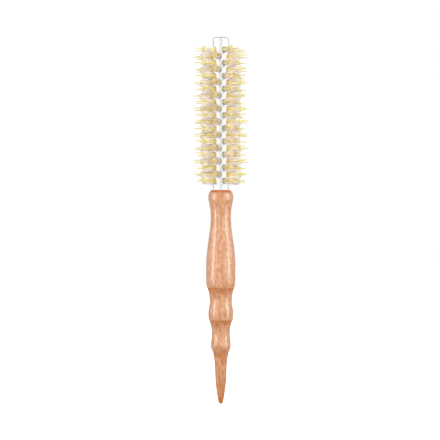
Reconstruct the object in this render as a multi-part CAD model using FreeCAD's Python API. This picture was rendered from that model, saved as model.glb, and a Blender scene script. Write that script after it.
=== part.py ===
"""Round barrel brush: a turned wooden handle with a pointed tail, a perforated
aluminium barrel, and boar bristle and nylon pins held by a twisted wire core.

Frame: millimetres, +Z up along the brush's axis, origin at the tip of the tail.
+X runs through one of the columns of holes that have the larger count.
"""

import FreeCAD
import Part

import math
import os

# ---- barrel: a drawn tube with staggered round holes --------------------------
BARREL_D = 10.0
BARREL_WALL = 0.6
COLUMNS = 8  # columns of holes round the barrel, each second one half a pitch down
ROWS = 11  # holes in a column of the larger count
ROW_PITCH = 8.17  # between two holes of one column
HOLE_D = 3.6
ROOT_LAND = 4.0  # plain tube between the handle and the first hole
END_LAND = 6.05  # plain tube, cap included, beyond the last hole

# ---- end cap: a turned plug with a flange of the barrel's diameter ------------
CAP_FLANGE = 1.3
CAP_EDGE_R = 0.9
CAP_SKIRT = 3.6
CAP_WIRE_HOLE = 3.2  # depth of the blind hole that centres the wire
CAP_FIT = 0.02  # radial

# ---- core: two steel strands twisted together --------------------------------
STRAND_D = 1.4
STRAND_GAP = 0.1  # the bristle roots that are nipped between the strands
TWIST_PITCH = 9.8
WIRE_SEAT = 30.0  # length glued into the handle, below the barrel
WIRE_END_GAP = 0.5
WIRE_FIT = 0.05  # radial

# ---- bristle: each hole holds one tuft ---------------------------------------
TUFT_REACH = 7.5  # the boar bristle's length outside the barrel
TUFT_DOME = 0.5  # height of the tuft's rounded end
PIN_D = 0.44
PIN_REACH = 11.6  # the nylon pins' length outside the barrel
PINS_PER_TUFT = 3
TUFT_GAP = 0.04  # between a tuft's bristle and its pins
ROOT_GAP = 0.32  # between the pins of two tufts of one ring, at the wire
HOLE_FIT = 0.05  # between a pin and the hole's edge

# ---- handle: radii of the turned profile, and how far apart they lie -----------
SOCKET_DEPTH = 18.0
SOCKET_FIT = 0.05  # radial
TOP_RIM = 0.6  # flat wood round the barrel
COLLAR_WOOD = 2.86  # wood round the barrel at the collar, the neck's widest place
WAIST_WOOD = 1.3  # wood round the barrel at the narrowest place below the collar
BELLY_R = 9.32
BEAD_R = 7.92  # the larger finger bead
BEAD_WAIST_R = 7.04  # between the belly and the larger bead
SMALL_BEAD_R = 6.32
SMALL_WAIST_R = 5.75  # between the two beads
TAIL_R = 3.5
TIP_R = 1.47

TIP_ROUND = 1.1
TAIL_LENGTH = 15.9
NECK_LENGTH = 15.4  # from the tail up to the edge under the small bead
SMALL_BEAD_RISE = 4.0  # from that edge to the bead's crest
SMALL_WAIST_RISE = 7.8
BEAD_EDGE_RISE = 8.0  # up to the edge under the larger bead
BEAD_RISE = 4.4
BEAD_WAIST_RISE = 7.5
BELLY_EDGE_RISE = 8.3  # up to the edge under the belly
BELLY_RISE = 5.0
BELLY_LENGTH = 3.5
WAIST_RISE = 35.7
COLLAR_RISE = 12.5
TOP_RISE = 4.2

# how far inside the full radius each turned edge lies, and the ledge cut under it
BELLY_EDGE_DROP = 0.58
BEAD_EDGE_DROP = 0.4
SMALL_EDGE_DROP = 1.1
EDGE_LEDGE = 0.25

# ---- worked out from the sizes above -----------------------------------------
BARREL_R = BARREL_D / 2
BORE_R = BARREL_R - BARREL_WALL
HOLE_R = HOLE_D / 2
PIN_R = PIN_D / 2
PER_RING = COLUMNS // 2
RINGS = 2 * ROWS - 1
RING_STEP = ROW_PITCH / 2

HANDLE_TOP = (
    TIP_ROUND + TAIL_LENGTH + NECK_LENGTH + SMALL_BEAD_RISE + SMALL_WAIST_RISE
    + BEAD_EDGE_RISE + BEAD_RISE + BEAD_WAIST_RISE + BELLY_EDGE_RISE
    + BELLY_RISE + BELLY_LENGTH + WAIST_RISE + COLLAR_RISE + TOP_RISE
)
SOCKET_FLOOR = HANDLE_TOP - SOCKET_DEPTH
FIRST_RING = HANDLE_TOP + ROOT_LAND + HOLE_R
LAST_RING = FIRST_RING + (RINGS - 1) * RING_STEP
BRUSH_TOP = LAST_RING + HOLE_R + END_LAND
BARREL_TOP = BRUSH_TOP - CAP_FLANGE

STRAND_R = STRAND_D / 2
STRAND_OFFSET = STRAND_R + STRAND_GAP / 2
CORE_R = STRAND_OFFSET + STRAND_R
WIRE_BOTTOM = SOCKET_FLOOR - WIRE_SEAT
WIRE_TOP = BARREL_TOP - CAP_SKIRT + CAP_WIRE_HOLE - WIRE_END_GAP

# A pin's line starts beside the wire, clear of the next tuft's pins, and grazes the
# edge of the hole where it passes the barrel's outer wall. That sets how far it leans.
ROOT_R = CORE_R + WIRE_FIT
PIN_SIDE = math.cos(math.radians(180 / PINS_PER_TUFT - 30))
ROOT_OFFSET = (ROOT_R - math.sqrt(2) * (PIN_R + ROOT_GAP / 2)) / PIN_SIDE
HOLE_OFFSET = HOLE_R - HOLE_FIT - PIN_R
LEAN = (HOLE_OFFSET - ROOT_OFFSET) / (BARREL_R - ROOT_R)
LEAN_ANGLE = math.degrees(math.atan(LEAN))
AXIS_OFFSET = ROOT_OFFSET - LEAN * ROOT_R  # the line carried on to the brush's axis
TUFT_AXIS_R = AXIS_OFFSET - PIN_R - TUFT_GAP  # the tuft's flank, carried on likewise

AXIS_X = FreeCAD.Vector(1, 0, 0)
AXIS_Z = FreeCAD.Vector(0, 0, 1)
ORIGIN = FreeCAD.Vector(0, 0, 0)


def point(r, z):
    """A point of a turned outline, at radius r and height z."""
    return FreeCAD.Vector(r, 0, z)


def line(start, end):
    return Part.LineSegment(point(*start), point(*end)).toShape()


def curve(start, end, start_slope=0.0, end_slope=0.0, start_pull=0.4, end_pull=0.4):
    """A turned curve between two (radius, height) points, as one cubic Bezier.

    A slope is the change of radius with height, so 0 is a crest or a waist. A pull
    is how far its end's direction is held, as a share of the height between them.
    """
    rise = end[1] - start[1]
    low = (start[0] + start_slope * start_pull * rise, start[1] + start_pull * rise)
    high = (end[0] - end_slope * end_pull * rise, end[1] - end_pull * rise)
    bezier = Part.BezierCurve()
    bezier.setPoles([point(*p) for p in (start, low, high, end)])
    return bezier.toShape()


def rounded_shoulder(crest, rim):
    """The neck's rounded top edge, from an upright side to a level rim."""
    bezier = Part.BezierCurve()
    rise = rim[1] - crest[1]
    side = (crest[0], crest[1] + 0.6 * rise)
    level = (rim[0] + 0.3 * (crest[0] - rim[0]), rim[1])
    bezier.setPoles([point(*p) for p in (crest, side, level, rim)])
    return bezier.toShape()


def turned(edges):
    """Turns a closed outline of edges about the axis into a solid."""
    face = Part.Face(Part.Wire(edges))
    return face.revolve(ORIGIN, AXIS_Z, 360)


def handle_outside():
    """The handle's outline from the tip of the tail up to the rim, as edges."""
    tip = (0.0, 0.0)
    tail_foot = (TIP_R, TIP_ROUND)
    tail_top = (TAIL_R, tail_foot[1] + TAIL_LENGTH)
    small_edge_z = tail_top[1] + NECK_LENGTH
    small_edge_r = SMALL_BEAD_R - SMALL_EDGE_DROP
    small_crest = (SMALL_BEAD_R, small_edge_z + SMALL_BEAD_RISE)
    small_waist = (SMALL_WAIST_R, small_crest[1] + SMALL_WAIST_RISE)
    bead_edge_z = small_waist[1] + BEAD_EDGE_RISE
    bead_edge_r = BEAD_R - BEAD_EDGE_DROP
    bead_crest = (BEAD_R, bead_edge_z + BEAD_RISE)
    bead_waist = (BEAD_WAIST_R, bead_crest[1] + BEAD_WAIST_RISE)
    belly_edge_z = bead_waist[1] + BELLY_EDGE_RISE
    belly_edge_r = BELLY_R - BELLY_EDGE_DROP
    belly_low = (BELLY_R, belly_edge_z + BELLY_RISE)
    belly_high = (BELLY_R, belly_low[1] + BELLY_LENGTH)
    waist = (BARREL_R + WAIST_WOOD, belly_high[1] + WAIST_RISE)
    collar = (BARREL_R + COLLAR_WOOD, waist[1] + COLLAR_RISE)
    rim = (BARREL_R + TOP_RIM, collar[1] + TOP_RISE)

    small_ledge = (small_edge_r - EDGE_LEDGE, small_edge_z)
    bead_ledge = (bead_edge_r - EDGE_LEDGE, bead_edge_z)
    belly_ledge = (belly_edge_r - EDGE_LEDGE, belly_edge_z)
    tip_mid = point(0.72 * TIP_R, 0.3 * TIP_ROUND)
    tip_arc = Part.Arc(point(*tip), tip_mid, point(*tail_foot)).toShape()
    return [
        tip_arc,
        curve(tail_foot, tail_top, 0.2, 0.04, 0.4, 0.3),
        curve(tail_top, small_ledge, 0.04, 0.2, 0.3, 0.4),
        line(small_ledge, (small_edge_r, small_edge_z)),
        curve((small_edge_r, small_edge_z), small_crest, 0.42, 0.0, 0.3, 0.35),
        curve(small_crest, small_waist, 0.0, 0.0, 0.45, 0.6),
        curve(small_waist, bead_ledge, 0.0, 0.3, 0.5, 0.25),
        line(bead_ledge, (bead_edge_r, bead_edge_z)),
        curve((bead_edge_r, bead_edge_z), bead_crest, 0.22, 0.0, 0.3, 0.45),
        curve(bead_crest, bead_waist, 0.0, 0.0, 0.3, 0.5),
        curve(bead_waist, belly_ledge, 0.0, 0.34, 0.5, 0.3),
        line(belly_ledge, (belly_edge_r, belly_edge_z)),
        curve((belly_edge_r, belly_edge_z), belly_low, 0.3, 0.0, 0.3, 0.6),
        line(belly_low, belly_high),
        curve(belly_high, waist, 0.0, 0.0, 0.5, 0.3),
        curve(waist, collar, 0.0, 0.0, 0.52, 0.28),
        rounded_shoulder(collar, rim),
    ]


def handle():
    """One turned piece of wood with a socket for the barrel and a hole for the wire."""
    socket_r = BARREL_R + SOCKET_FIT
    wire_r = CORE_R + WIRE_FIT
    wire_floor = WIRE_BOTTOM - WIRE_END_GAP
    bored = [
        line((BARREL_R + TOP_RIM, HANDLE_TOP), (socket_r, HANDLE_TOP)),
        line((socket_r, HANDLE_TOP), (socket_r, SOCKET_FLOOR)),
        line((socket_r, SOCKET_FLOOR), (wire_r, SOCKET_FLOOR)),
        line((wire_r, SOCKET_FLOOR), (wire_r, wire_floor)),
        line((wire_r, wire_floor), (0.0, wire_floor)),
        line((0.0, wire_floor), (0.0, 0.0)),
    ]
    return turned(handle_outside() + bored)


def ring_angles(ring):
    """The directions, in degrees, of the holes in one ring. Each second ring is turned."""
    turn = 360 / COLUMNS * (ring % 2)
    return [turn + 360 / PER_RING * n for n in range(PER_RING)]


def ring_height(ring):
    return FIRST_RING + ring * RING_STEP


def set_in_hole(shape, ring, angle):
    """A copy of a shape that stands along +X at the origin, set in one of the holes."""
    placed = shape.copy()
    centre = FreeCAD.Vector(0, 0, ring_height(ring))
    turn = FreeCAD.Placement(centre, FreeCAD.Rotation(AXIS_Z, angle))
    placed.Placement = turn * placed.Placement
    return placed


def barrel_tube():
    """The tube, seated on the socket's floor, with a round hole for each tuft."""
    length = BARREL_TOP - SOCKET_FLOOR
    foot = FreeCAD.Vector(0, 0, SOCKET_FLOOR)
    tube = Part.makeCylinder(BARREL_R, length, foot)
    tube = tube.cut(Part.makeCylinder(BORE_R, length, foot))
    drill_start = FreeCAD.Vector(HOLE_R + BARREL_WALL, 0, 0)  # clear of the drill next to it
    drill = Part.makeCylinder(HOLE_R, BARREL_R, drill_start, AXIS_X)
    holes = [
        set_in_hole(drill, ring, angle)
        for ring in range(RINGS)
        for angle in ring_angles(ring)
    ]
    return tube.cut(Part.makeCompound(holes))


def end_cap():
    """The plug in the barrel's free end, with a rounded flange and a blind hole below."""
    skirt_r = BORE_R - CAP_FIT
    wire_r = CORE_R + WIRE_FIT
    skirt_z = BARREL_TOP - CAP_SKIRT
    hole_z = skirt_z + CAP_WIRE_HOLE
    edge_mid = math.sqrt(0.5) * CAP_EDGE_R
    edge_centre = (BARREL_R - CAP_EDGE_R, BRUSH_TOP - CAP_EDGE_R)
    edge_start = (BARREL_R, edge_centre[1])
    edge_end = (edge_centre[0], BRUSH_TOP)
    rounded = Part.Arc(
        point(*edge_start),
        point(edge_centre[0] + edge_mid, edge_centre[1] + edge_mid),
        point(*edge_end),
    ).toShape()
    return turned([
        line((0.0, hole_z), (wire_r, hole_z)),
        line((wire_r, hole_z), (wire_r, skirt_z)),
        line((wire_r, skirt_z), (skirt_r, skirt_z)),
        line((skirt_r, skirt_z), (skirt_r, BARREL_TOP)),
        line((skirt_r, BARREL_TOP), (BARREL_R, BARREL_TOP)),
        line((BARREL_R, BARREL_TOP), edge_start),
        rounded,
        line(edge_end, (0.0, BRUSH_TOP)),
        line((0.0, BRUSH_TOP), (0.0, hole_z)),
    ])


def core_strand(start_angle):
    """One of the two strands: a round wire swept along a helix."""
    helix = Part.makeHelix(TWIST_PITCH, WIRE_TOP - WIRE_BOTTOM, STRAND_OFFSET)
    start = FreeCAD.Vector(STRAND_OFFSET, 0, 0)
    climb = FreeCAD.Vector(0, 2 * math.pi * STRAND_OFFSET, TWIST_PITCH)
    section = Part.Wire(Part.makeCircle(STRAND_R, start, climb))
    strand = Part.Wire(helix).makePipeShell([section], True, True)
    strand.rotate(ORIGIN, AXIS_Z, start_angle)
    strand.translate(FreeCAD.Vector(0, 0, WIRE_BOTTOM))
    return strand


def turned_about_x(outline):
    """Turns an outline in the XZ plane, closed along the X axis, about that axis."""
    face = Part.Face(Part.Wire(outline))
    return face.revolve(ORIGIN, AXIS_X, 360)


def boar_tuft():
    """One tuft of boar bristle along +X: a slim cone from the core with a domed end."""
    end = BARREL_R + TUFT_REACH
    shoulder = end - TUFT_DOME
    root_w = TUFT_AXIS_R + LEAN * ROOT_R
    end_w = TUFT_AXIS_R + LEAN * shoulder
    dome_r = (end_w**2 + TUFT_DOME**2) / (2 * TUFT_DOME)
    half_arc = math.asin(end_w / dome_r) / 2
    dome_mid = point(end - dome_r + dome_r * math.cos(half_arc), dome_r * math.sin(half_arc))
    return turned_about_x([
        line((ROOT_R, 0.0), (ROOT_R, root_w)),
        line((ROOT_R, root_w), (shoulder, end_w)),
        Part.Arc(point(shoulder, end_w), dome_mid, point(end, 0.0)).toShape(),
        line((end, 0.0), (ROOT_R, 0.0)),
    ])


def nylon_pins():
    """The pins round one tuft along +X, each leaning away from its middle."""
    slant = math.cos(math.radians(LEAN_ANGLE))
    foot = (ROOT_R + PIN_R * LEAN) / slant
    tip = (BARREL_R + PIN_REACH) / slant
    shank = tip - PIN_R
    half_round = math.sqrt(0.5) * PIN_R
    pin = turned_about_x([
        line((foot, 0.0), (foot, PIN_R)),
        line((foot, PIN_R), (shank, PIN_R)),
        Part.Arc(point(shank, PIN_R), point(shank + half_round, half_round), point(tip, 0.0)).toShape(),
        line((tip, 0.0), (foot, 0.0)),
    ])
    pin.rotate(ORIGIN, FreeCAD.Vector(0, 1, 0), -LEAN_ANGLE)
    pin.translate(FreeCAD.Vector(0, 0, AXIS_OFFSET))
    pins = []
    for n in range(PINS_PER_TUFT):
        one = pin.copy()
        one.rotate(ORIGIN, AXIS_X, 360 / PINS_PER_TUFT * n)
        pins.append(one)
    return pins


def save(name, shape):
    shape.exportStep(os.path.join("parts", name + ".step"))


def main():
    os.makedirs("parts", exist_ok=True)
    save("handle", handle())
    save("barrel_tube", barrel_tube())
    save("end_cap", end_cap())
    save("core_wire_a", core_strand(0))
    save("core_wire_b", core_strand(180))
    tuft = boar_tuft()
    pins = nylon_pins()
    for ring in range(RINGS):
        angles = ring_angles(ring)
        tufts = [set_in_hole(tuft, ring, angle) for angle in angles]
        ring_pins = [set_in_hole(pin, ring, angle) for angle in angles for pin in pins]
        save(f"boar_tufts_{ring + 1:02d}", Part.makeCompound(tufts))
        save(f"nylon_pins_{ring + 1:02d}", Part.makeCompound(ring_pins))
    print("handle top", round(HANDLE_TOP, 2), "first ring", round(FIRST_RING, 2))
    print("last ring", round(LAST_RING, 2), "brush top", round(BRUSH_TOP, 2), "pins lean", round(LEAN_ANGLE, 2))


main()
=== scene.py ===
import math
import random

import bmesh
import bpy
from mathutils import Matrix, Vector


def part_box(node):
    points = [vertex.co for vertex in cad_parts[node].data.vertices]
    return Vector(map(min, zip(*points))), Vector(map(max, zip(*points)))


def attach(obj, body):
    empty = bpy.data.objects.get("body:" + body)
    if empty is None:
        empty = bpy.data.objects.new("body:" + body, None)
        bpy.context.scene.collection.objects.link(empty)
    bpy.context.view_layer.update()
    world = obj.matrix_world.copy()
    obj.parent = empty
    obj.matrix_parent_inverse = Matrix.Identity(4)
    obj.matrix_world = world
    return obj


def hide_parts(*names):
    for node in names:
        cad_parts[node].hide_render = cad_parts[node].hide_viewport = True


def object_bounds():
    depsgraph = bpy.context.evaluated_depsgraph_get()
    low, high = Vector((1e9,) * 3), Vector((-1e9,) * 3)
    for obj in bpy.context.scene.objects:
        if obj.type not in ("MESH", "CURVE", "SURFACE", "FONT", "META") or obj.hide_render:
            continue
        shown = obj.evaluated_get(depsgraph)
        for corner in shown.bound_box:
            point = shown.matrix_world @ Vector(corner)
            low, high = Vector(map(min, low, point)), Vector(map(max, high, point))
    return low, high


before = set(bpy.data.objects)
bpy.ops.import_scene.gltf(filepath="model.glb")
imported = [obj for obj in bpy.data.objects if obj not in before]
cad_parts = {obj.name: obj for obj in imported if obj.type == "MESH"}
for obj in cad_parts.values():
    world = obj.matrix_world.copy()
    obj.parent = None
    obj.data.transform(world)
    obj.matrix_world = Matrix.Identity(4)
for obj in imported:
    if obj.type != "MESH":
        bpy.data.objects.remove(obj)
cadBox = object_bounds()
print("frame loaded,", len(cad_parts), "nodes")

mm = 0.001

# places taken from the frame: the barrel, the wire in its middle, and the rings of tufts
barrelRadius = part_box("barrel_tube")[1].x
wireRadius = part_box("core_wire_a")[1].x
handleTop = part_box("handle")[1].z
ringNumbers = sorted(name[-2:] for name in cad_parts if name.startswith("boar_tufts_"))
tuftsPerRing = 4


def ringHeight(number):
    low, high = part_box("boar_tufts_" + number)
    return (low.z + high.z) / 2


def holeAngles(number):
    step = 360 / tuftsPerRing
    turn = 0 if int(number) % 2 else step / 2  # every second ring is turned half a step
    return [math.radians(turn + step * n) for n in range(tuftsPerRing)]


def hexColour(text):
    values = [int(text[i:i + 2], 16) / 255 for i in (1, 3, 5)]
    linear = [v / 12.92 if v <= 0.04045 else ((v + 0.055) / 1.055) ** 2.4 for v in values]
    return (*linear, 1.0)


def addNode(tree, kind, inputs=None, stops=None, **settings):
    node = tree.nodes.new(kind)
    for name, value in settings.items():
        setattr(node, name, value)
    for key, value in (inputs or {}).items():
        if isinstance(value, bpy.types.NodeSocket):
            tree.links.new(value, node.inputs[key])
        else:
            node.inputs[key].default_value = value
    for place, (position, colour) in enumerate(stops or []):
        ramp = node.color_ramp.elements
        element = ramp[place] if place < 2 else ramp.new(position)
        element.position = position
        element.color = colour
    return node


def newMaterial(name):
    material = bpy.data.materials.new(name)
    material.use_nodes = True
    material.node_tree.nodes.clear()
    return material, material.node_tree


def finishMaterial(tree, shader):
    output = addNode(tree, "ShaderNodeOutputMaterial")
    tree.links.new(shader.outputs[0], output.inputs["Surface"])


noiseLow, noiseHigh = 0.3, 0.7  # a noise texture seldom leaves this range
waveRing = math.tau / 20  # width of one ring of a wave texture at a scale of 1

beechLook = {
    "colour": "#9C6F49",
    "lateWood": "#844925",
    "lateWoodStart": 0.4,  # share of a year ring that is pale early wood
    "lateWoodShare": 0.6,  # how strongly the year rings show
    "ringSpacing": 1.7 * mm,
    "pith": (5 * mm, 28 * mm, 0),  # from the middle of the tree to the handle's axis
    "pithLean": (2.0, -1.4, 0),  # degrees
    "fibreWidth": 0.6 * mm,  # drawn coarser than real, so that it shows
    "fibreLength": 3.5 * mm,
    "fibreTone": (0.8, 1.14),  # brightness of the darkest and the palest fibres
    "ray": "#7B421B",
    "rayWidth": 0.45 * mm,
    "rayLength": 1.5 * mm,
    "rayEdge": (0.54, 0.66),  # noise levels between which a fleck fades in
    "rayShare": 0.6,
    "patchSize": 2.4 * mm,
    "patchTone": (0.9, 1.08),  # brightness of the darkest and the palest patches
    "patchDepth": (1.12, 0.9),  # and how deep their colour is
    "poreStrength": 0.12,
    "poreDepth": 0.05 * mm,
    # end grain's deeper colour, also used as painted shade on faces turned up or down and under
    # sharp edges
    "endGrainAndShade": "#8A4A1A",
    "endGrainAndShadeSlope": (0.3, 0.9),  # share of the axis in the surface's direction: starts, is full
    "endGrainAndShadeShare": 0.85,
    "tailTop": 42 * mm,  # from here the wood deepens down to the tip
    "tailShare": 0.55,
    "shadeUnderEdge": 6.5 * mm,  # how far the painted shade reaches down from each sharp edge
    "shadeUnderShare": 0.65,
    "rimColour": "#9A4616",
    "rim": 1.4 * mm,  # depth of the deeper colour at the collar's top rim: end grain and painted shade
    "rimShare": 0.9,
    "roughness": 0.5,
    "ior": 1.5,
    "shine": 0.5,
    "coatRoughness": 0.27,
    "soakedCoat": 0.1,  # what is left of the lacquer where the wood soaks it up
}


# heights of the sharp edges under which painted shade hangs
def sharpEdgeHeights():
    # the handle looks straight down only under the turner's sharp edges, and at its tip
    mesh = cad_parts["handle"].data
    aboveTip = 5 * mm
    straightDown = -0.99
    return sorted({round(face.center.z, 4) for face in mesh.polygons
                   if face.normal.z < straightDown and face.center.z > aboveTip})


# Beech, turned and sanded, under clear satin lacquer: pale pinkish brown with faint year rings,
# fine fibres along the handle and small darker ray flecks. It is deeper where the turning cuts
# across the fibres, because end grain soaks up more lacquer, and the same deeper colour is also
# painted shade there, under each sharp edge and at the collar's top rim. The wood darkens towards
# the tip. The shine is soft and broad.
def makeBeech():
    material, tree = newMaterial("turnedBeechSatinLacquer")
    look = beechLook
    coordinates = addNode(tree, "ShaderNodeTexCoord")
    place = coordinates.outputs["Object"]
    lean = tuple(math.radians(v) for v in look["pithLean"])
    aboutPith = addNode(tree, "ShaderNodeMapping", {
        "Vector": place, "Location": look["pith"], "Rotation": lean}).outputs["Vector"]
    rings = addNode(tree, "ShaderNodeTexWave", {
        "Vector": aboutPith, "Scale": waveRing / look["ringSpacing"],
        "Distortion": 3.5, "Detail": 3.0, "Detail Scale": 0.5, "Detail Roughness": 0.6,
    }, wave_type="RINGS", rings_direction="Z", wave_profile="SAW").outputs["Fac"]
    fibreShape = addNode(tree, "ShaderNodeMapping", {
        "Vector": place, "Scale": (1, 1, look["fibreWidth"] / look["fibreLength"]),
    }).outputs["Vector"]
    fibres = addNode(tree, "ShaderNodeTexNoise", {
        "Vector": fibreShape, "Scale": 1 / look["fibreWidth"], "Detail": 3.0,
        "Roughness": 0.6}).outputs["Fac"]
    rayShape = addNode(tree, "ShaderNodeMapping", {
        "Vector": place, "Scale": (1, 1, look["rayWidth"] / look["rayLength"]),
    }).outputs["Vector"]
    rays = addNode(tree, "ShaderNodeTexNoise", {
        "Vector": rayShape, "Scale": 0.5 / look["rayWidth"], "Detail": 1.0}).outputs["Fac"]
    patches = addNode(tree, "ShaderNodeTexNoise", {
        "Vector": place, "Scale": 1 / look["patchSize"], "Detail": 3.0}).outputs["Fac"]
    # deeper where the surface turns up or down: end grain, and painted shade
    facing = addNode(tree, "ShaderNodeSeparateXYZ", {
        "Vector": coordinates.outputs["Normal"]}).outputs["Z"]
    steep = addNode(tree, "ShaderNodeMath", {0: facing}, operation="ABSOLUTE").outputs[0]
    endGrainAndShadeMask = addNode(tree, "ShaderNodeMapRange", {
        "Value": steep, "From Min": look["endGrainAndShadeSlope"][0], "From Max": look["endGrainAndShadeSlope"][1],
        "To Max": look["endGrainAndShadeShare"]}, interpolation_type="SMOOTHSTEP").outputs["Result"]
    height = addNode(tree, "ShaderNodeSeparateXYZ", {"Vector": place}).outputs["Z"]
    tail = addNode(tree, "ShaderNodeMapRange", {
        "Value": height, "From Min": look["tailTop"], "From Max": 0, "To Max": look["tailShare"],
    }).outputs["Result"]
    endGrainAndShadeMask = addNode(tree, "ShaderNodeMath", {0: endGrainAndShadeMask, 1: tail}, operation="MAXIMUM").outputs[0]
    # deeper colour at the collar's top rim: end grain and painted shade
    rim = addNode(tree, "ShaderNodeMapRange", {
        "Value": height, "From Min": handleTop - look["rim"],
        "From Max": handleTop - look["rim"] / 2, "To Max": look["rimShare"]}).outputs["Result"]
    # painted shade under each sharp edge, fading out further down
    for edge in sharpEdgeHeights():
        fading = addNode(tree, "ShaderNodeMapRange", {
            "Value": height, "From Min": edge - look["shadeUnderEdge"], "From Max": edge,
            "To Max": look["shadeUnderShare"]}).outputs["Result"]
        below = addNode(tree, "ShaderNodeMath", {
            0: height, 1: edge}, operation="LESS_THAN").outputs[0]
        under = addNode(tree, "ShaderNodeMath", {
            0: fading, 1: below}, operation="MULTIPLY").outputs[0]
        endGrainAndShadeMask = addNode(tree, "ShaderNodeMath", {
            0: endGrainAndShadeMask, 1: under}, operation="MAXIMUM").outputs[0]
    ringMask = addNode(tree, "ShaderNodeMapRange", {
        "Value": rings, "From Min": look["lateWoodStart"], "To Max": look["lateWoodShare"],
    }).outputs["Result"]
    rayMask = addNode(tree, "ShaderNodeMapRange", {
        "Value": rays, "From Min": look["rayEdge"][0], "From Max": look["rayEdge"][1],
        "To Max": look["rayShare"]}).outputs["Result"]
    fibreTone = addNode(tree, "ShaderNodeMapRange", {
        "Value": fibres, "From Min": noiseLow, "From Max": noiseHigh,
        "To Min": look["fibreTone"][0], "To Max": look["fibreTone"][1]}).outputs["Result"]
    patchTone = addNode(tree, "ShaderNodeMapRange", {
        "Value": patches, "From Min": noiseLow, "From Max": noiseHigh,
        "To Min": look["patchTone"][0], "To Max": look["patchTone"][1]}).outputs["Result"]
    tone = addNode(tree, "ShaderNodeMath", {
        0: fibreTone, 1: patchTone}, operation="MULTIPLY").outputs[0]
    wood = addNode(tree, "ShaderNodeMix", {
        "Factor": ringMask, 6: hexColour(look["colour"]), 7: hexColour(look["lateWood"]),
    }, data_type="RGBA").outputs[2]
    flecked = addNode(tree, "ShaderNodeMix", {
        "Factor": rayMask, 6: wood, 7: hexColour(look["ray"])}, data_type="RGBA").outputs[2]
    # end grain colour, also painted shade under the sharp edges and on faces turned up or down
    endGrainAndShaded = addNode(tree, "ShaderNodeMix", {
        "Factor": endGrainAndShadeMask, 6: flecked, 7: hexColour(look["endGrainAndShade"])}, data_type="RGBA").outputs[2]
    # the collar's top rim: end grain colour and painted shade
    rimmed = addNode(tree, "ShaderNodeMix", {
        "Factor": rim, 6: endGrainAndShaded, 7: hexColour(look["rimColour"])}, data_type="RGBA").outputs[2]
    soaked = addNode(tree, "ShaderNodeMath", {0: endGrainAndShadeMask, 1: rim}, operation="MAXIMUM").outputs[0]
    lacquer = addNode(tree, "ShaderNodeMapRange", {
        "Value": soaked, "To Min": 1.0, "To Max": look["soakedCoat"]}).outputs["Result"]
    shine = addNode(tree, "ShaderNodeMath", {
        0: lacquer, 1: look["shine"]}, operation="MULTIPLY").outputs[0]
    depth = addNode(tree, "ShaderNodeMapRange", {
        "Value": patches, "From Min": noiseLow, "From Max": noiseHigh,
        "To Min": look["patchDepth"][0], "To Max": look["patchDepth"][1]}).outputs["Result"]
    toned = addNode(tree, "ShaderNodeHueSaturation", {
        "Color": rimmed, "Value": tone, "Saturation": depth}).outputs["Color"]
    pores = addNode(tree, "ShaderNodeBump", {
        "Height": fibres, "Strength": look["poreStrength"], "Distance": look["poreDepth"],
    }).outputs["Normal"]
    finishMaterial(tree, addNode(tree, "ShaderNodeBsdfPrincipled", {
        "Base Color": toned, "Roughness": look["roughness"], "IOR": look["ior"], "Normal": pores,
        "Specular IOR Level": shine, "Coat Weight": lacquer,
        "Coat Roughness": look["coatRoughness"]}))
    return material


aluminiumLook = {
    "colour": "#F4F5F5",
    "inside": "#8A6A48",  # painted shade, browned by a painted reflection of the golden hair, in the bore and on the holes' cut edges
    "wallEdge": (0.12 * mm, 0.03 * mm),  # from painted shade to bright metal, in depth under the outer surface
    "lineWidth": 0.16 * mm,  # of the tool marks, coarser than real, so that they show
    "lineStretch": 0.004,  # a draw line's width as a share of its length
    "lineStrength": 0.15,
    "turnedStrength": 0.1,
    "lineDepth": 0.01 * mm,
    "scuffSize": 3 * mm,
    "scuffed": (0.12, 0.38),  # lines times scuffs, from the brightest metal to the dullest
    "roughness": (0.16, 0.30),
}


# Aluminium tube, drawn and bright: a white metal whose faint lengthwise draw lines
# streak the reflections up and down the barrel. Inside and on the holes' cut edges it carries a
# brown painted shade with a painted reflection of the golden hair.
def makeTubeAluminium():
    material, tree = newMaterial("drawnBrightAluminium")
    look = aluminiumLook
    place = addNode(tree, "ShaderNodeTexCoord").outputs["Object"]
    lengthwise = addNode(tree, "ShaderNodeMapping", {
        "Vector": place, "Scale": (1, 1, look["lineStretch"])}).outputs["Vector"]
    lines = addNode(tree, "ShaderNodeTexNoise", {
        "Vector": lengthwise, "Scale": 1 / look["lineWidth"], "Detail": 2.0}).outputs["Fac"]
    scuffs = addNode(tree, "ShaderNodeTexNoise", {
        "Vector": place, "Scale": 1 / look["scuffSize"], "Detail": 4.0}).outputs["Fac"]
    mixed = addNode(tree, "ShaderNodeMath", {0: lines, 1: scuffs}, operation="MULTIPLY").outputs[0]
    rough = addNode(tree, "ShaderNodeMapRange", {
        "Value": mixed, "From Min": look["scuffed"][0], "From Max": look["scuffed"][1],
        "To Min": look["roughness"][0], "To Max": look["roughness"][1]}).outputs["Result"]
    bump = addNode(tree, "ShaderNodeBump", {
        "Height": lines, "Strength": look["lineStrength"], "Distance": look["lineDepth"],
    }).outputs["Normal"]
    across = addNode(tree, "ShaderNodeVectorMath", {
        0: place, 1: (1, 1, 0)}, operation="MULTIPLY").outputs[0]
    radius = addNode(tree, "ShaderNodeVectorMath", {0: across}, operation="LENGTH").outputs["Value"]
    outside = addNode(tree, "ShaderNodeMapRange", {
        "Value": radius, "From Min": barrelRadius - look["wallEdge"][0],
        "From Max": barrelRadius - look["wallEdge"][1]}).outputs["Result"]
    # painted shade and painted reflection of the hair in the bore and on the holes' cut edges
    colour = addNode(tree, "ShaderNodeMix", {
        "Factor": outside, 6: hexColour(look["inside"]), 7: hexColour(look["colour"])},
        data_type="RGBA").outputs[2]
    finishMaterial(tree, addNode(tree, "ShaderNodeBsdfPrincipled", {
        "Base Color": colour, "Metallic": 1.0, "Roughness": rough, "Normal": bump}))
    return material


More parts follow.
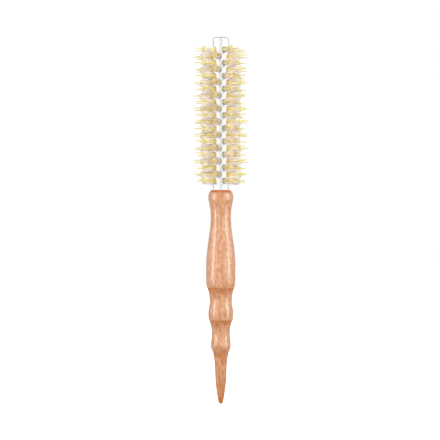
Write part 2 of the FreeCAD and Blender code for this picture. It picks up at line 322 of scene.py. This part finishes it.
# The same metal on the plug in the barrel's end, but turned: its faint tool marks run round it,
# and it is as bright as the tube all over.
def makeCapAluminium():
    material, tree = newMaterial("turnedBrightAluminium")
    look = aluminiumLook
    place = addNode(tree, "ShaderNodeTexCoord").outputs["Object"]
    marks = addNode(tree, "ShaderNodeTexWave", {
        "Vector": place, "Scale": waveRing / look["lineWidth"], "Distortion": 0.6, "Detail": 1.0,
    }, wave_type="RINGS", rings_direction="Z").outputs["Fac"]
    rough = addNode(tree, "ShaderNodeMapRange", {
        "Value": marks, "To Min": look["roughness"][0], "To Max": look["roughness"][1],
    }).outputs["Result"]
    bump = addNode(tree, "ShaderNodeBump", {
        "Height": marks, "Strength": look["turnedStrength"], "Distance": look["lineDepth"],
    }).outputs["Normal"]
    finishMaterial(tree, addNode(tree, "ShaderNodeBsdfPrincipled", {
        "Base Color": hexColour(look["colour"]), "Metallic": 1.0,
        "Roughness": rough, "Normal": bump}))
    return material


wireLook = {"colour": "#A9ACAE", "spangle": 0.8 * mm, "roughness": (0.28, 0.5)}


# Steel wire, galvanised: duller and greyer than the barrel, with a faint mottle.
def makeWireSteel():
    material, tree = newMaterial("galvanisedSteelWire")
    place = addNode(tree, "ShaderNodeTexCoord").outputs["Object"]
    spangle = addNode(tree, "ShaderNodeTexNoise", {
        "Vector": place, "Scale": 1 / wireLook["spangle"]}).outputs["Fac"]
    rough = addNode(tree, "ShaderNodeMapRange", {
        "Value": spangle, "To Min": wireLook["roughness"][0], "To Max": wireLook["roughness"][1],
    }).outputs["Result"]
    finishMaterial(tree, addNode(tree, "ShaderNodeBsdfPrincipled", {
        "Base Color": hexColour(wireLook["colour"]), "Metallic": 1.0, "Roughness": rough}))
    return material


boarLook = {
    "root": "#D19E4D",
    "gold": "#EED688",
    "middle": "#E5DACD",
    "tip": "#D2C3B2",
    "stops": (0.22, 0.34, 0.54, 0.9),  # along a hair: root up to, gold at, middle from and to
    "hairTone": (0.96, 1.02),  # brightness of the darkest and the palest hairs
    "roughness": 0.5,
    "ior": 1.55,
}


# Boar bristle, natural blond: horn-like hair, deep gold at the root and paler to the tip,
# each hair a little lighter or darker than the next, with a dull gloss.
def makeBoar():
    material, tree = newMaterial("blondBoarBristle")
    look = boarLook
    along = addNode(tree, "ShaderNodeAttribute", attribute_name="along").outputs["Fac"]
    tone = addNode(tree, "ShaderNodeAttribute", attribute_name="tone").outputs["Fac"]
    rootStop, goldStop, middleStart, middleEnd = look["stops"]
    colour = addNode(tree, "ShaderNodeValToRGB", {"Fac": along}, stops=[
        (rootStop, hexColour(look["root"])), (1.0, hexColour(look["tip"])),
        (goldStop, hexColour(look["gold"])), (middleStart, hexColour(look["middle"])),
        (middleEnd, hexColour(look["middle"]))]).outputs["Color"]
    value = addNode(tree, "ShaderNodeMapRange", {
        "Value": tone, "To Min": look["hairTone"][0], "To Max": look["hairTone"][1],
    }).outputs["Result"]
    toned = addNode(tree, "ShaderNodeHueSaturation", {
        "Color": colour, "Value": value}).outputs["Color"]
    finishMaterial(tree, addNode(tree, "ShaderNodeBsdfPrincipled", {
        "Base Color": toned, "Roughness": look["roughness"], "IOR": look["ior"]}))
    return material


nylonLook = {
    "root": "#D4B34B",
    "middle": "#CBBE56",
    "tip": "#A5A548",
    "stops": (0.2, 0.5),  # along a pin: root up to, middle at
    "roughness": 0.3,
    "ior": 1.53,
}


# Nylon monofilament, extruded and straw yellow: clean, bright and glossy beside the dull hair,
# and greener towards its thin tip.
def makeNylon():
    material, tree = newMaterial("strawNylonMonofilament")
    along = addNode(tree, "ShaderNodeAttribute", attribute_name="along").outputs["Fac"]
    look = nylonLook
    rootStop, middleStop = look["stops"]
    colour = addNode(tree, "ShaderNodeValToRGB", {"Fac": along}, stops=[
        (rootStop, hexColour(look["root"])), (1.0, hexColour(look["tip"])),
        (middleStop, hexColour(look["middle"]))]).outputs["Color"]
    finishMaterial(tree, addNode(tree, "ShaderNodeBsdfPrincipled", {
        "Base Color": colour, "Roughness": look["roughness"], "IOR": look["ior"]}))
    return material


beech = makeBeech()
tubeAluminium = makeTubeAluminium()
capAluminium = makeCapAluminium()
wireSteel = makeWireSteel()
boar = makeBoar()
nylon = makeNylon()
cadFinishes = {
    "handle": beech,
    "barrel_tube": tubeAluminium,
    "end_cap": capAluminium,
    "core_wire_a": wireSteel,
    "core_wire_b": wireSteel,
}
for nodeName, finish in cadFinishes.items():
    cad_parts[nodeName].material_slots[0].material = finish
print("finishes made")


def growHair(bm, line, radii, sides, tone, alongEnd=1.0):
    # a small disc at the root, its face drawn out from point to point along the line
    alongLayer = bm.verts.layers.float["along"]
    toneLayer = bm.verts.layers.float["tone"]
    last = len(line) - 1
    directions = [(line[min(n + 1, last)] - line[max(n - 1, 0)]).normalized()
                  for n in range(len(line))]
    turns = [Vector((0, 0, 1)).rotation_difference(d).to_matrix().to_4x4() for d in directions]
    start = Matrix.Translation(line[0]) @ turns[0]
    disc = bmesh.ops.create_circle(bm, cap_ends=True, segments=sides, radius=radii[0], matrix=start)
    face = disc["verts"][0].link_faces[0]
    for vert in disc["verts"]:
        vert[alongLayer] = 0.0
        vert[toneLayer] = tone
    for n in range(1, len(line)):
        drawn = bmesh.ops.extrude_face_region(bm, geom=[face])["geom"]
        if n > 1:
            bm.faces.remove(face)  # only the root keeps its face; inside the hair it would be stray
        face = next(item for item in drawn if isinstance(item, bmesh.types.BMFace))
        back = (Matrix.Translation(line[n - 1]) @ turns[n - 1]).inverted()
        grow = Matrix.Diagonal((radii[n] / radii[n - 1], radii[n] / radii[n - 1], 1, 1))
        move = Matrix.Translation(line[n]) @ turns[n] @ grow @ back
        bmesh.ops.transform(bm, matrix=move, verts=face.verts)
        for vert in face.verts:
            vert[alongLayer] = alongEnd * n / last
            vert[toneLayer] = tone


def bendLine(points, steps):
    # a smooth line through the points, each stretch cut into this many steps
    line = []
    for n in range(len(points) - 1):
        before = points[max(n - 1, 0)]
        after = points[min(n + 2, len(points) - 1)]
        for step in range(steps):
            t = step / steps
            a, b = points[n], points[n + 1]
            line.append(0.5 * (2 * a + (b - before) * t
                               + (2 * before - 5 * a + 4 * b - after) * t * t
                               + (3 * a - before - 3 * b + after) * t ** 3))
    return line + [points[-1]]


wireGap = 0.1 * mm  # hairs and pins start this far from the wire
bendSteps = 2

tuft = {
    "hairs": 140,
    "kinds": 6,  # different tufts, each used many times, rolled about its own axis
    "firstSeed": 100,
    "placingSeed": 1000,
    "thickness": 0.25 * mm,  # coarser than real, so that fewer hairs fill the tuft
    "unevenThickness": (0.8, 1.15),
    "tipShare": 0.95,  # tip thickness as a share of the root's: boar hair hardly tapers
    "sides": 5,
    "unevenTurn": 0.3,  # radians about the tuft
    "rootSpread": 0.62 * mm,
    "holeSpread": 1.42 * mm,
    "flareSpread": 2.2 * mm,  # halfway between the barrel and the ends
    "endSpread": 2.4 * mm,
    "reach": 13.15 * mm,
    "unevenEnds": 0.25 * mm,
    "dome": 0.9 * mm,  # how far the heart of the tuft stands out beyond its edge
    "wander": 0.16 * mm,
    "strays": 0.05,  # share of hairs that lean out of the bunch
    "strayLean": 0.45 * mm,
    "heart": 0.6,  # the hairs within this share of the tuft's width stay golden to the tip
    "heartAlong": 0.43,  # how far along the colours such a hair gets
}


def newHairMesh():
    bm = bmesh.new()
    bm.verts.layers.float.new("along")
    bm.verts.layers.float.new("tone")
    return bm


def closeHairMesh(bm, name):
    for face in bm.faces:
        face.smooth = True
    bmesh.ops.recalc_face_normals(bm, faces=bm.faces)
    mesh = bpy.data.meshes.new(name)
    bm.to_mesh(mesh)
    bm.free()
    return mesh


def makeTuft(number):
    rng = random.Random(tuft["firstSeed"] + number)
    bm = newHairMesh()
    golden = math.pi * (3 - math.sqrt(5))
    for n in range(tuft["hairs"]):
        share = math.sqrt((n + 0.5) / tuft["hairs"])
        angle = n * golden + rng.uniform(-tuft["unevenTurn"], tuft["unevenTurn"])
        out = Vector((0, math.cos(angle) * share, math.sin(angle) * share))
        side = Vector((0, rng.uniform(-1, 1), rng.uniform(-1, 1)))
        end = tuft["reach"] + rng.gauss(0, 1) * tuft["unevenEnds"] - tuft["dome"] * share * share
        spread = tuft["endSpread"]
        if rng.random() < tuft["strays"]:
            spread += tuft["strayLean"]
        halfWay = (barrelRadius + end) / 2
        points = [
            Vector((wireRadius + wireGap, 0, 0)) + out * tuft["rootSpread"],
            Vector((barrelRadius, 0, 0)) + out * tuft["holeSpread"],
            Vector((halfWay, 0, 0)) + out * tuft["flareSpread"] + side * tuft["wander"],
            Vector((end, 0, 0)) + out * spread - side * tuft["wander"],
        ]
        line = bendLine(points, bendSteps)
        thick = tuft["thickness"] / 2 * rng.uniform(*tuft["unevenThickness"])
        radii = [thick * (1 + (tuft["tipShare"] - 1) * k / (len(line) - 1))
                 for k in range(len(line))]
        alongEnd = tuft["heartAlong"] if share < tuft["heart"] else 1.0
        growHair(bm, line, radii, tuft["sides"], rng.random(), alongEnd)
    return closeHairMesh(bm, f"tuftKind{number}")


pins = {
    "kinds": 8,
    "firstSeed": 500,
    "placingSeed": 2000,
    "thickness": 0.95 * mm,
    "tipThickness": 0.48 * mm,
    "tipRounding": (48, 80),  # degrees round the tip's ball at which the pin narrows once more
    "sides": 6,
    "around": (-15, 15, 180),  # degrees about the tuft: two pins on one flank, one on the other
    "unevenAround": 9,
    "rootOffset": 1.05 * mm,
    "holeOffset": 1.36 * mm,
    "endOffset": 2.7 * mm,
    "unevenOffset": 0.8 * mm,
    "reach": 16.1 * mm,
    "unevenReach": 0.75 * mm,
    "bend": 0.55 * mm,
}


def makePins(number):
    rng = random.Random(pins["firstSeed"] + number)
    bm = newHairMesh()
    for n in range(len(pins["around"])):
        angle = math.radians(pins["around"][n] + rng.uniform(-1, 1) * pins["unevenAround"])
        out = Vector((0, math.cos(angle), math.sin(angle)))
        side = Vector((0, rng.uniform(-1, 1), rng.uniform(-1, 1))) * pins["bend"]
        end = pins["reach"] + rng.uniform(-1, 1) * pins["unevenReach"]
        endOut = pins["endOffset"] + rng.uniform(-1, 1) * pins["unevenOffset"]
        middle = (barrelRadius + end) / 2
        points = [
            Vector((wireRadius + wireGap, 0, 0)) + out * pins["rootOffset"],
            Vector((barrelRadius, 0, 0)) + out * pins["holeOffset"],
            Vector((middle, 0, 0)) + out * (pins["holeOffset"] + endOut) / 2 + side / 2,
            Vector((end, 0, 0)) + out * endOut - side / 2,
        ]
        line = bendLine(points, bendSteps)
        narrowing = (pins["tipThickness"] - pins["thickness"]) / 2
        shank = [pins["thickness"] / 2 + narrowing * k / (len(line) - 1) for k in range(len(line))]
        tip = shank[-1]
        forward = (line[-1] - line[-2]).normalized()
        rounding = [(math.sin(math.radians(a)), math.cos(math.radians(a)))
                    for a in pins["tipRounding"]]
        line += [line[-1] + forward * tip * ahead for ahead, width in rounding]
        radii = shank + [tip * width for ahead, width in rounding]
        growHair(bm, line, radii, pins["sides"], rng.random())
    return closeHairMesh(bm, f"pinKind{number}")


def setRing(name, node, number, kinds, finish, seed, freeRoll):
    # one bunch in each hole; pins are only turned by a half, so that they stay on the tuft's flanks
    rng = random.Random(seed + int(number))
    bm = newHairMesh()
    for angle in holeAngles(number):
        before = len(bm.verts)
        bm.from_mesh(rng.choice(kinds))
        bm.verts.ensure_lookup_table()
        rolled = rng.uniform(0, math.tau) if freeRoll else math.pi * rng.randrange(2)
        roll = Matrix.Rotation(rolled, 4, "X")
        aim = Matrix.Rotation(angle, 4, "Z")
        lift = Matrix.Translation((0, 0, ringHeight(number)))
        bmesh.ops.transform(bm, matrix=lift @ aim @ roll, verts=bm.verts[before:])
    mesh = closeHairMesh(bm, name)
    mesh.materials.append(finish)
    piece = bpy.data.objects.new(name, mesh)
    bpy.context.scene.collection.objects.link(piece)
    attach(piece, "root")
    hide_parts(node)


tuftKinds = [makeTuft(n) for n in range(tuft["kinds"])]
print("tufts grown,", len(tuftKinds[0].polygons), "faces each")
pinKinds = [makePins(n) for n in range(pins["kinds"])]
print("pins grown,", len(pinKinds[0].polygons), "faces each")
for number in ringNumbers:
    setRing("boarTufts" + number, "boar_tufts_" + number, number, tuftKinds, boar,
            tuft["placingSeed"], True)
    setRing("nylonPins" + number, "nylon_pins_" + number, number, pinKinds, nylon,
            pins["placingSeed"], False)
print("rings set")

studio = {
    "azimuth": -30,  # degrees round the brush
    "lens": 135,
    "sensor": 36,
    "distance": 1031 * mm,
    "lookHeight": 114.7 * mm,
    "lookAside": -0.5 * mm,
    "viewEnds": 20.0,  # metres from the camera
    "lampsAimAt": 0.12,  # metres up the brush
}

azimuth = math.radians(studio["azimuth"])
towardsCamera = Vector((math.sin(azimuth), -math.cos(azimuth), 0))
cameraRight = Vector((math.cos(azimuth), math.sin(azimuth), 0))
lookAt = Vector((0, 0, cadBox[0].z + studio["lookHeight"])) + cameraRight * studio["lookAside"]


def aimAt(thing, target):
    thing.rotation_euler = (target - thing.location).to_track_quat("-Z", "Y").to_euler()


cameraData = bpy.data.cameras.new("camera")
cameraData.lens = studio["lens"]
cameraData.sensor_width = studio["sensor"]
cameraData.clip_end = studio["viewEnds"]
camera = bpy.data.objects.new("camera", cameraData)
camera.location = lookAt + towardsCamera * studio["distance"]
aimAt(camera, lookAt)
bpy.context.scene.collection.objects.link(camera)
bpy.context.scene.camera = camera

# around is in degrees from the camera, the lengths are in metres
lights = {
    "leftStrip": {
        "around": -64, "height": 0.16, "away": 0.55, "size": (0.21, 0.7), "watts": 3.1,
        "shines": True},
    "rightStrip": {
        "around": 68, "height": 0.16, "away": 0.55, "size": (0.21, 0.7), "watts": 3.1,
        "shines": True},
    "leftFront": {
        "around": -24, "height": 0.2, "away": 0.9, "size": (0.5, 0.7), "watts": 5.2,
        "shines": False},
    "rightFront": {
        "around": 28, "height": 0.2, "away": 0.9, "size": (0.5, 0.7), "watts": 5.2,
        "shines": False},
    "back": {
        "around": 180, "height": 0.6, "away": 0.9, "size": (0.9, 0.7), "watts": 2.0,
        "shines": False},
}

# the strips draw their long highlights on the handle's lacquer and leave the metal and hair alone
stripLit = bpy.data.collections.new("stripLit")
stripLit.objects.link(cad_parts["handle"])

for name, light in lights.items():
    data = bpy.data.lights.new(name, "AREA")
    data.shape = "RECTANGLE"
    data.size, data.size_y = light["size"]
    data.energy = light["watts"]
    lamp = bpy.data.objects.new(name, data)
    swing = Matrix.Rotation(math.radians(light["around"]), 3, "Z")
    lamp.location = swing @ towardsCamera * light["away"] + Vector((0, 0, light["height"]))
    aimAt(lamp, Vector((0, 0, studio["lampsAimAt"])))
    lamp.visible_glossy = light["shines"]  # a fill light isn't seen in the barrel
    if light["shines"]:
        lamp.light_linking.receiver_collection = stripLit
    bpy.context.scene.collection.objects.link(lamp)


floorLook = {
    "width": 6.0,
    "segments": 96,
    "colour": "#B8B8B8",
    "roughness": 0.9,
    "glow": 0.8,  # for the camera only, so that the paper comes out white
}


# Matte white paper: even and without any gloss.
def makeFloor():
    look = floorLook
    bm = bmesh.new()
    bmesh.ops.create_circle(bm, cap_ends=True, segments=look["segments"], radius=look["width"] / 2)
    bmesh.ops.translate(bm, verts=bm.verts, vec=(0, 0, cadBox[0].z))
    mesh = bpy.data.meshes.new("floor")
    bm.to_mesh(mesh)
    bm.free()
    material, tree = newMaterial("matteWhitePaper")
    seen = addNode(tree, "ShaderNodeLightPath").outputs["Is Camera Ray"]
    glow = addNode(tree, "ShaderNodeMath", {
        0: seen, 1: look["glow"]}, operation="MULTIPLY").outputs[0]
    finishMaterial(tree, addNode(tree, "ShaderNodeBsdfPrincipled", {
        "Base Color": hexColour(look["colour"]), "Roughness": look["roughness"],
        "Emission Color": (1, 1, 1, 1), "Emission Strength": glow}))
    mesh.materials.append(material)
    floor = bpy.data.objects.new("floor", mesh)
    bpy.context.scene.collection.objects.link(floor)


room = {
    # brightness of the walls as metal and lacquer mirror them, by the angle from the camera
    "walls": {
        -180: 0.5, -134: 0.6, -124: 0.72, -114: 1.12, -24: 1.12, -12: 0.86,
        16: 0.86, 28: 1.12, 118: 1.12, 128: 0.78, 138: 0.62, 180: 0.5},
    "redPower": 1.15,  # the darker a wall, the bluer it is
    "bluePower": 0.93,
    "ceilingStarts": 0.35,  # how far up a ray looks, from 0 to 1
    "ceilingFull": 0.8,
    "ceiling": 0.5,  # brightness as a share of the walls'
    "tent": 1.5,  # brightness of the light tent round the brush, as matte surfaces see it
}


def makeSurround():
    world = bpy.data.worlds.new("paleStudio")
    world.use_nodes = True
    tree = world.node_tree
    tree.nodes.clear()
    direction = addNode(tree, "ShaderNodeTexCoord").outputs["Generated"]
    aside = addNode(tree, "ShaderNodeVectorMath", {
        0: direction, 1: cameraRight}, operation="DOT_PRODUCT").outputs["Value"]
    ahead = addNode(tree, "ShaderNodeVectorMath", {
        0: direction, 1: towardsCamera}, operation="DOT_PRODUCT").outputs["Value"]
    angle = addNode(tree, "ShaderNodeMath", {0: aside, 1: ahead}, operation="ARCTAN2").outputs[0]
    share = addNode(tree, "ShaderNodeMapRange", {
        "Value": angle, "From Min": -math.pi, "From Max": math.pi}).outputs["Result"]
    ordered = list(room["walls"].items())
    stops = [((turn + 180) / 360, (level ** room["redPower"], level, level ** room["bluePower"], 1))
             for turn, level in [ordered[0], ordered[-1], *ordered[1:-1]]]
    walls = addNode(tree, "ShaderNodeValToRGB", {"Fac": share}, stops=stops).outputs["Color"]
    up = addNode(tree, "ShaderNodeSeparateXYZ", {"Vector": direction}).outputs["Z"]
    ceiling = addNode(tree, "ShaderNodeMapRange", {
        "Value": up, "From Min": room["ceilingStarts"], "From Max": room["ceilingFull"],
        "To Min": 1.0, "To Max": room["ceiling"]}).outputs["Result"]
    paper = (1, 1, 1, 1)
    mirrored = addNode(tree, "ShaderNodeBackground", {
        "Color": walls, "Strength": ceiling}).outputs[0]
    tent = addNode(tree, "ShaderNodeBackground", {
        "Color": paper, "Strength": room["tent"]}).outputs[0]
    backdrop = addNode(tree, "ShaderNodeBackground", {
        "Color": paper, "Strength": 1.0}).outputs[0]
    ray = addNode(tree, "ShaderNodeLightPath")
    lit = addNode(tree, "ShaderNodeMixShader", {
        0: ray.outputs["Is Glossy Ray"], 1: tent, 2: mirrored}).outputs[0]
    shown = addNode(tree, "ShaderNodeMixShader", {
        0: ray.outputs["Is Camera Ray"], 1: lit, 2: backdrop}).outputs[0]
    addNode(tree, "ShaderNodeOutputWorld", {"Surface": shown})
    bpy.context.scene.world = world


makeFloor()
makeSurround()
bpy.context.scene.view_settings.view_transform = "Standard"
print("studio lit")
